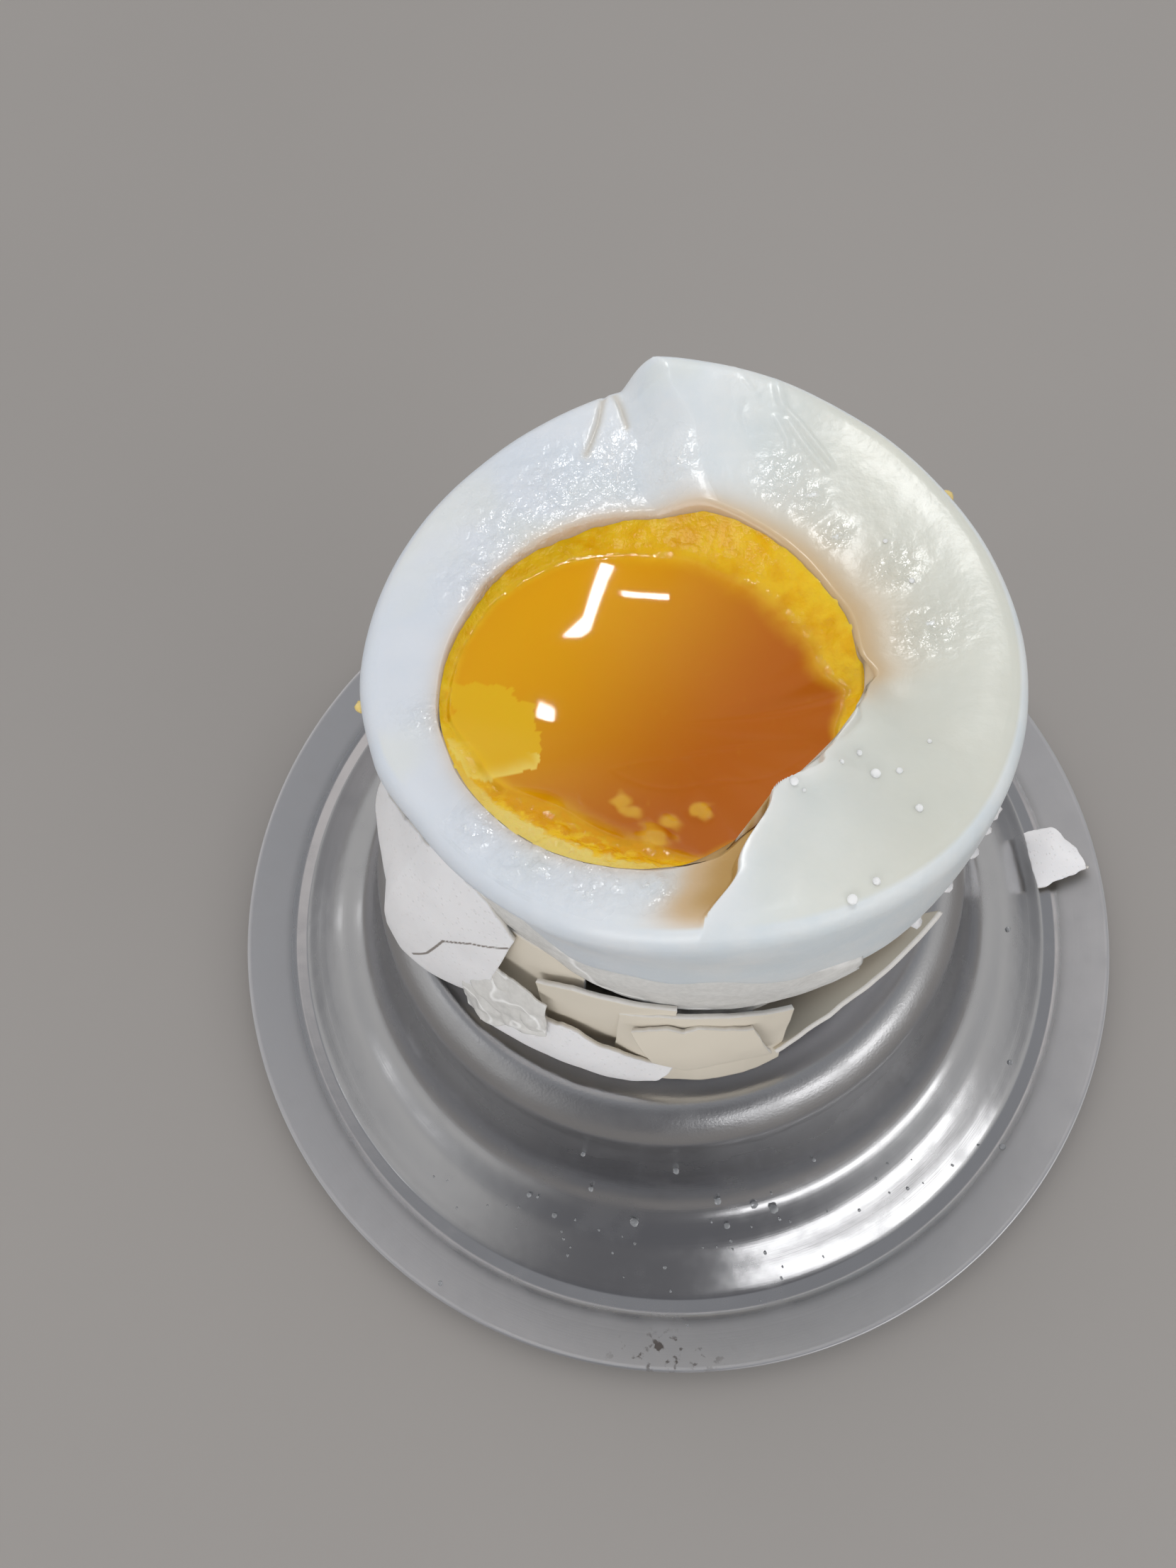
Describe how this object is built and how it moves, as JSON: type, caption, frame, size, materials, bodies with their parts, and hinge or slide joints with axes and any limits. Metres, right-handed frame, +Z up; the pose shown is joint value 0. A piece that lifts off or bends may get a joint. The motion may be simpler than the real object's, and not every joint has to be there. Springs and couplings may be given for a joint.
{
  "type": "soft-boiled egg in an egg cup",
  "caption": "Half-peeled soft-boiled egg with its top cut off and runny yolk showing, leaning in a pressed steel egg cup with saucer rim and broken shell.",
  "frame": {"origin": "centre of the saucer on the surface that the cup stands on", "axes": "+Z up, -Y towards the side where the broken shell lies, +X to the right of it"},
  "size_m": [0.083, 0.083, 0.0487],
  "materials": {
    "steel": "satin inside and on the rim, polished on the flared foot",
    "egg_white": "wet, translucent set egg white",
    "egg_yolk": "glossy runny yolk with a paler set edge",
    "shell": "matte white eggshell, outside",
    "shell_inside": "matte beige eggshell, inside",
    "membrane": "thin translucent shell membrane"
  },
  "bodies": {
    "root": {"egg_cup": "steel", "egg_white": "egg_white", "egg_yolk": "egg_yolk", "shell_base": "shell", "shell_plate_left": "shell", "shell_wall_left": "shell_inside", "shell_wall_middle": "shell_inside", "shell_plate_front": "shell", "shell_wall_front": "shell_inside", "shell_shard_front": "shell_inside", "shell_strip_right": "shell_inside", "shell_membrane": "membrane", "shell_flake": "shell"}
  },
  "joints": []
}
